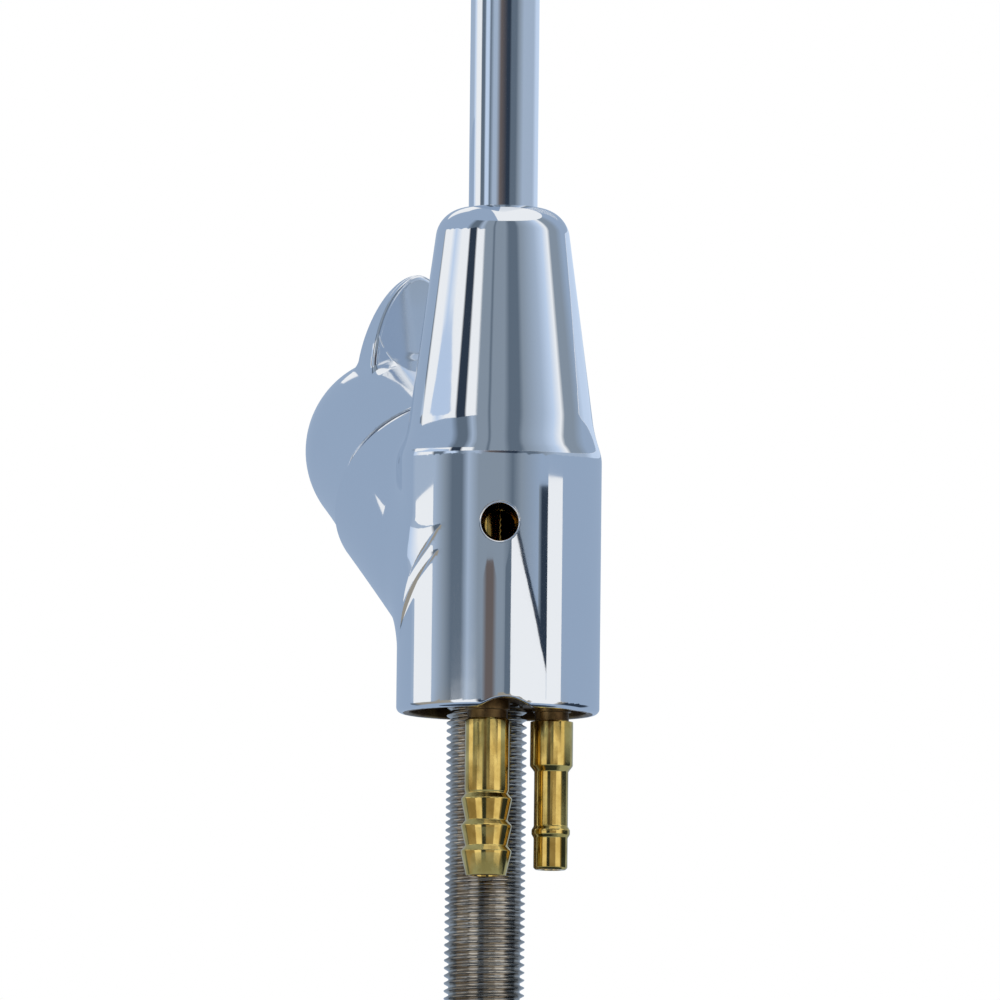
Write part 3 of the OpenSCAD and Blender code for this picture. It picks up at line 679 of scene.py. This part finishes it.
# Studio
# A pale floor just under the shank, a white background, two soft lamps, and grey and white boards
# round the faucet that show only as reflections in its metal.
floor_z = MM * shank_end
floor_mesh = bpy.data.meshes.new("studio_floor")
floor_mesh.from_pydata([(-8, -8, floor_z), (8, -8, floor_z), (8, 8, floor_z), (-8, 8, floor_z)], [], [(0, 1, 2, 3)])
floor_paint = bpy.data.materials.new("floor_paint")
floor_paint.use_nodes = True
floor_paint.node_tree.nodes["Principled BSDF"].inputs["Base Color"].default_value = (0.82, 0.82, 0.82, 1)
floor_paint.node_tree.nodes["Principled BSDF"].inputs["Roughness"].default_value = 0.9
nodes, links = floor_paint.node_tree.nodes, floor_paint.node_tree.links
clear = nodes.new("ShaderNodeBsdfTransparent")
underside = nodes.new("ShaderNodeNewGeometry")
one_sided = nodes.new("ShaderNodeMixShader")
links.new(underside.outputs["Backfacing"], one_sided.inputs["Fac"])
links.new(nodes["Principled BSDF"].outputs[0], one_sided.inputs[1])
links.new(clear.outputs[0], one_sided.inputs[2])
links.new(one_sided.outputs[0], nodes["Material Output"].inputs["Surface"])
floor_mesh.materials.append(floor_paint)
floor = bpy.data.objects.new("studio_floor", floor_mesh)
bpy.context.scene.collection.objects.link(floor)

world = bpy.data.worlds.new("studio")
bpy.context.scene.world = world
world.use_nodes = True
nodes, links = world.node_tree.nodes, world.node_tree.links
soft = nodes["Background"]
soft.inputs["Color"].default_value = (0.9, 0.95, 1.0, 1)
soft.inputs["Strength"].default_value = 0.9
white = nodes.new("ShaderNodeBackground")
white.inputs["Color"].default_value = (1, 1, 1, 1)
white.inputs["Strength"].default_value = 1
ray = nodes.new("ShaderNodeLightPath")
seen = nodes.new("ShaderNodeMath")
seen.operation = "ADD"
seen.use_clamp = True
links.new(ray.outputs["Is Camera Ray"], seen.inputs[0])
links.new(ray.outputs["Is Glossy Ray"], seen.inputs[1])
through = nodes.new("ShaderNodeMath")
through.operation = "ADD"
through.use_clamp = True
links.new(seen.outputs[0], through.inputs[0])
links.new(ray.outputs["Is Transmission Ray"], through.inputs[1])
pick = nodes.new("ShaderNodeMixShader")
links.new(through.outputs[0], pick.inputs["Fac"])
links.new(soft.outputs[0], pick.inputs[1])
links.new(white.outputs[0], pick.inputs[2])
links.new(pick.outputs[0], nodes["World Output"].inputs["Surface"])

for name, place, size, watts in (("key_lamp", (0.9, 1.0, 1.3), 0.9, 7), ("fill_lamp", (-1.1, 0.7, 0.9), 1.1, 3)):
    lamp_data = bpy.data.lights.new(name, "AREA")
    lamp_data.size = size
    lamp_data.energy = watts
    lamp = bpy.data.objects.new(name, lamp_data)
    lamp.location = place
    lamp.rotation_euler = (view_aim - Vector(place)).to_track_quat("-Z", "Y").to_euler()
    lamp.visible_camera = False
    lamp.visible_glossy = False
    bpy.context.scene.collection.objects.link(lamp)

# Boards round the faucet
# Curved studio boards that show only as reflections in the polished metal: a blue grey surround
# with light and dark strips, and small white and black boards close to the foot.
white_board = (1.0, 1.0, 1.0)
pale_board = (0.62, 0.74, 0.92)
sky_board = (0.42, 0.51, 0.64)
room_board = (0.345, 0.44, 0.585)
grey_board = (0.27, 0.325, 0.39)
slate_board = (0.13, 0.17, 0.22)
ink_board = (0.03, 0.045, 0.07)
brown_board = (0.15, 0.125, 0.12)
tan_board = (0.36, 0.33, 0.28)
soft_board = (0.54, 0.66, 0.85)
far_distance = 0.9
near_distance = 0.12


def hang(name, mesh):
    """Puts a board up where only polished metal sees it."""
    piece = bpy.data.objects.new(name, mesh)
    piece.visible_camera = False
    piece.visible_diffuse = False
    piece.visible_shadow = False
    bpy.context.scene.collection.objects.link(piece)
    return piece


def board(name, distance, stops):
    """A curved board from stops of face angle, low edge, high edge and tone along the metal's front."""
    faces_at = [s[0] for s in stops]
    steps = max(2, round(faces_at[-1] - faces_at[0]) + 1)
    turns = np.unique(np.concatenate([np.linspace(faces_at[0], faces_at[-1], steps), faces_at]))
    low, high = (np.interp(turns, faces_at, [s[k] for s in stops]) for k in (1, 2))
    tones = np.stack([np.interp(turns, faces_at, [s[3][c] for s in stops]) for c in range(3)], -1)
    face = np.radians(turns)
    across = -MM * foot_r * np.sin(face) - distance * np.sin(2 * face)
    ahead = MM * foot_r * np.cos(face) + distance * np.cos(2 * face)
    points = np.stack([np.stack([across, ahead, edge], -1) for edge in (low, high)], 1)
    mesh = bpy.data.meshes.new(name)
    mesh.from_pydata(points.reshape(-1, 3).tolist(), [],
                     [(2 * k, 2 * k + 2, 2 * k + 3, 2 * k + 1) for k in range(len(turns) - 1)])
    paint = mesh.color_attributes.new("tone", "FLOAT_COLOR", "POINT")
    paint.data.foreach_set("color", np.c_[tones, np.ones(len(turns))].repeat(2, 0).ravel())
    mesh.materials.append(board_paint)
    return hang(name, mesh)


board_paint = bpy.data.materials.new("board_paint")
board_paint.use_nodes = True
nodes, links = board_paint.node_tree.nodes, board_paint.node_tree.links
tone = nodes.new("ShaderNodeVertexColor")
tone.layer_name = "tone"
glow = nodes.new("ShaderNodeEmission")
links.new(tone.outputs["Color"], glow.inputs["Color"])
links.new(glow.outputs[0], nodes["Material Output"].inputs["Surface"])


def band(name, low, high, strips):
    """A far board of one height all round, from pairs of face angle and tone."""
    return board(name, far_distance, [(turn, low, high, tone) for turn, tone in strips])


low_strips = [
    (-90, room_board), (-64, room_board), (-61, slate_board), (-56, slate_board), (-53, tan_board), (-28, tan_board),
    (-27, white_board), (-13, white_board), (-11, ink_board), (-2, ink_board), (0, tan_board), (18, tan_board),
    (20, white_board), (35, white_board), (37, tan_board), (42, ink_board), (60, ink_board), (64, room_board),
    (90, room_board)]
band("low_boards", -0.3, 0.069, [(-90, room_board), (-40, room_board), (-36, tan_board)] + low_strips[5:-5]
     + [(40, tan_board), (44, room_board), (90, room_board)])
board("barb_boards", 0.1, [(turn, -0.0605, 0.0, tone) for turn, tone in low_strips])
band("foot_boards", 0.069, 0.165, [
    (-90, room_board), (-60, room_board), (-56, sky_board), (-40, sky_board), (-33, grey_board), (-28, slate_board),
    (-22, slate_board), (-18, sky_board), (-12, grey_board), (2, grey_board), (7, slate_board), (12, grey_board),
    (24, room_board), (90, room_board)])
band("spout_boards", 0.165, 0.26, [
    (-90, room_board), (-62, sky_board), (-58, pale_board), (-52, white_board), (-43, white_board), (-41, slate_board),
    (-35, slate_board), (-32, pale_board), (-27, pale_board), (-24, slate_board), (-18, sky_board), (-13, sky_board),
    (-6, brown_board), (5, ink_board), (9, ink_board), (12, slate_board), (20, slate_board), (25, grey_board),
    (34, sky_board), (57, sky_board), (66, pale_board), (90, pale_board)])
cone_top = 0.43
board("cone_boards", far_distance, [(turn, 0.26, top, tone) for turn, top, tone in (
    (-90, 0.30, room_board), (-64, 0.30, room_board), (-61, 0.31, slate_board), (-59, 0.345, white_board),
    (-50, 0.375, white_board), (-45, 0.39, pale_board), (-38, 0.40, white_board), (-31, 0.42, white_board),
    (-29.5, cone_top, ink_board), (-24, cone_top, ink_board), (-22.5, cone_top, white_board),
    (-17, cone_top, white_board), (-15, cone_top, grey_board))])
band("cone_front_boards", 0.262, 1.15, [
    (-16, grey_board), (-9, grey_board), (-7.5, slate_board), (-6, grey_board), (2, grey_board), (5.5, slate_board),
    (12, slate_board), (15, grey_board), (28, sky_board), (36, pale_board), (42, white_board), (45, grey_board),
    (53, grey_board), (62, room_board), (90, room_board)])
band("back_boards", 0.55, 1.2, [(-90, white_board), (-74, white_board), (-72, room_board), (-70, room_board)])
band("back_right_boards", 0.55, 1.2, [(72, room_board), (74, white_board), (90, white_board)])
board("core_board", far_distance - 0.01, [(turn, 0.25, top, tone) for turn, top, tone in (
    (-57, 0.262, sky_board), (-52, 0.282, soft_board), (-48, 0.318, soft_board), (-44, 0.334, soft_board),
    (-40, 0.347, soft_board), (-36, 0.345, soft_board), (-31, 0.33, sky_board))])
board("high_boards", far_distance + 0.02, [(turn, 0.25, 1.15, tone) for turn, tone in (
    (-90, room_board), (-34, room_board), (-29, slate_board), (-23, slate_board), (-19, sky_board), (-15, grey_board))])
board("left_board", near_distance, [(-56, -0.03, 0.040, white_board), (-41, -0.03, 0.0425, white_board)])
board("right_board", near_distance, [(28.2, -0.03, 0.0435, white_board), (38, -0.03, 0.0435, white_board)])
board("front_board", near_distance - 0.003, [(6.8, -0.03, 0.036, white_board), (9.6, -0.03, 0.0345, white_board),
                                     (28, -0.03, 0.0145, white_board)])
board("front_edge", near_distance - 0.001, [(9, 0.034, 0.0375, ink_board), (27.6, 0.014, 0.018, ink_board)])
board("right_edge", near_distance, [(22.5, 0.019, 0.042, grey_board), (24.5, 0.017, 0.042, ink_board),
                                    (28.2, 0.0145, 0.042, ink_board)])
board("middle_edge", near_distance, [(3.5, -0.03, 0.030, slate_board), (6.6, -0.03, 0.034, slate_board)])
board("brown_board", near_distance, [(-9.5, -0.03, 0.028, grey_board), (-7, -0.03, 0.031, brown_board),
                                     (-3.5, -0.03, 0.031, brown_board), (-1, -0.03, 0.028, grey_board)])


def flat_board(name, outline, tone):
    """A flat board of one tone."""
    mesh = bpy.data.meshes.new(name)
    mesh.from_pydata(outline, [], [tuple(range(len(outline)))])
    paint = mesh.color_attributes.new("tone", "FLOAT_COLOR", "POINT")
    paint.data.foreach_set("color", [*tone, 1] * len(outline))
    mesh.materials.append(board_paint)
    return hang(name, mesh)


handle_blind = [(-0.1, -0.03), (-0.016, -0.03), (-0.016, 0.050), (-0.024, 0.050), (-0.024, 0.09), (-0.1, 0.09)]
flat_board("handle_blind", [(0.055, y, z) for y, z in handle_blind], room_board)
flat_board("roof_board", [(0.2, -2, 1.3), (4, -2, 1.3), (4, 2, 1.3), (0.2, 2, 1.3)], room_board)
flat_board("ground_board", [(0.93 * math.cos(a), 0.93 * math.sin(a), MM * shank_end + 0.001)
                            for a in np.linspace(0, 2 * math.pi, 49)[:-1]], room_board)
flat_board("shade_board", [(0.045 * math.cos(a), 0.045 * math.sin(a), MM * shank_end + 0.002)
                           for a in np.linspace(0, 2 * math.pi, 49)[:-1]], ink_board)

bpy.context.scene.view_settings.view_transform = "Standard"
